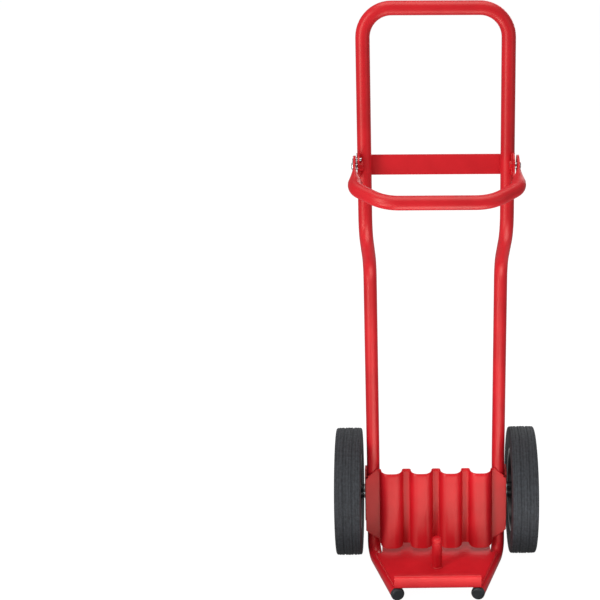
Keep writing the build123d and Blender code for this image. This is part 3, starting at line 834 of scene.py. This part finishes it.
def along_x(x, radius, angle, y, z):
    """Grid of points from a sideways place and a radius for each row and angle."""
    x, radius = np.broadcast_arrays(x, radius)
    return np.stack([x, y + radius * np.cos(angle), z + radius * np.sin(angle)], axis=-1)


def hexagon_head(x, length, y, z, flats):
    """A chamfered hexagon from x outwards. Its rows run from the middle of one face to that of the other."""
    angle = np.linspace(0, 2 * math.pi, 72, endpoint=False)[None]
    half = flats / 2
    edge = half / np.cos((angle + math.pi / 6) % (math.pi / 3) - math.pi / 6)
    face = ROUND_FACE * half
    drop = CONE * (edge - face)
    way = math.copysign(1, length)
    zero = 0 * edge
    rows_x = [x + zero, x + zero, x + length - way * drop, x + length + zero, x + length + zero]
    rows_r = [zero, edge, edge, face + zero, zero]
    return along_x(np.concatenate(rows_x), np.concatenate(rows_r), angle, y, z), False, True


def threaded_end(x, length, y, z, radius):
    """A bolt's shank with rings for its thread: the radius falls and rises once for each millimetre of pitch.
    It tapers at the tip."""
    along = np.linspace(0, 1, 60)[:, None]
    crest = radius * (1 - THREAD_DEPTH * np.abs((along * abs(length)) % 1.0 - 0.5) * 2)
    crest = crest * np.clip((1 - along) * abs(length) / TAPER_MM + TIP_SHARE, 0, 1)
    crest[[0, -1]] = 0
    angle = np.linspace(0, 2 * math.pi, 24, endpoint=False)[None]
    along[0] = along[1]
    along[-1] = along[-2]
    return along_x(x + along * length + 0 * angle, crest + 0 * angle, angle, y, z), False, True


for side, sign in SIDES:
    middle = wheel_middle(side, sign)
    head_x = middle + sign * RIM_BOLT_MM["web"]
    nut_x = middle - sign * RIM_BOLT_MM["web"]
    heads, nuts = [], []
    for n in range(RIM_BOLT_MM["count"]):
        around = math.radians(45 + n * 360 / RIM_BOLT_MM["count"])
        y = AXLE_Y - RIM_BOLT_MM["pcd"] / 2 * math.cos(around)
        z = AXLE_Z + RIM_BOLT_MM["pcd"] / 2 * math.sin(around)
        heads.append(hexagon_head(head_x, sign * RIM_BOLT_MM["head"], y, z, RIM_BOLT_MM["flats"]))
        heads.append(threaded_end(head_x, -sign * RIM_BOLT_SHANK, y, z, RIM_BOLT_MM["radius"]))
        nuts.append(hexagon_head(nut_x, -sign * RIM_BOLT_MM["nut"], y, z, RIM_BOLT_MM["flats"]))
    bolts = make_piece(f"{side}_rim_hex_bolts", heads, f"{side}_wheel", "zinc_plate")
    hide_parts(f"{side}_rim_bolts")
    hex_nuts = make_piece(f"{side}_rim_hex_nuts", nuts, f"{side}_wheel", "zinc_plate")
    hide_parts(f"{side}_rim_nuts")

# %% [markdown]
# A split pin is one soft wire folded in two. The fold is left open as an eye that stops the pin from falling
# through, and the ends are bent apart under the axle. Its path is drawn once, corner by corner.

# %% Split pins
PIN_WIRE = 0.78
PIN_SHANK_R = 1.5


def split_pin(x):
    """The folded wire, as (behind, above) the middle of the axle."""
    eye = [(0.8, 9.0), (3.4, 11.4), (3.4, 15.6)]
    leg = [(0.8, -9.3), (5.0, -14.6)]
    corners = [(-y, z) for y, z in leg[::-1] + eye] + eye[::-1] + leg
    flat = rounded(corners, [0, 1.6, 1.6, 1.5, 3.3, 3.3, 1.5, 1.6, 1.6, 0], closed=False)
    wire = np.stack([np.full(len(flat), x), AXLE_Y + flat[:, 0], AXLE_Z + flat[:, 1]], axis=-1)
    size = np.full(len(wire) + 2, PIN_WIRE)
    size[[0, -1]] = 0
    wire = np.concatenate([wire[:1], wire, wire[-1:]])
    wire[0] += (wire[1] - wire[2]) * 1e-3
    wire[-1] += (wire[-2] - wire[-3]) * 1e-3
    return carried(wire, circle(1.0)[None] * size[:, None, None], np.array([1.0, 0, 0]))


_, pin_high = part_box("axle_split_pins")
PIN_X = pin_high.x / MM - PIN_SHANK_R
pins = make_piece("bent_split_pins", [split_pin(PIN_X), split_pin(-PIN_X)], "frame", "zinc_plate")
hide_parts("axle_split_pins")

# %% Sizes
low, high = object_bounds()
print("visual size", [round(b - a, 4) for a, b in zip(low, high)])
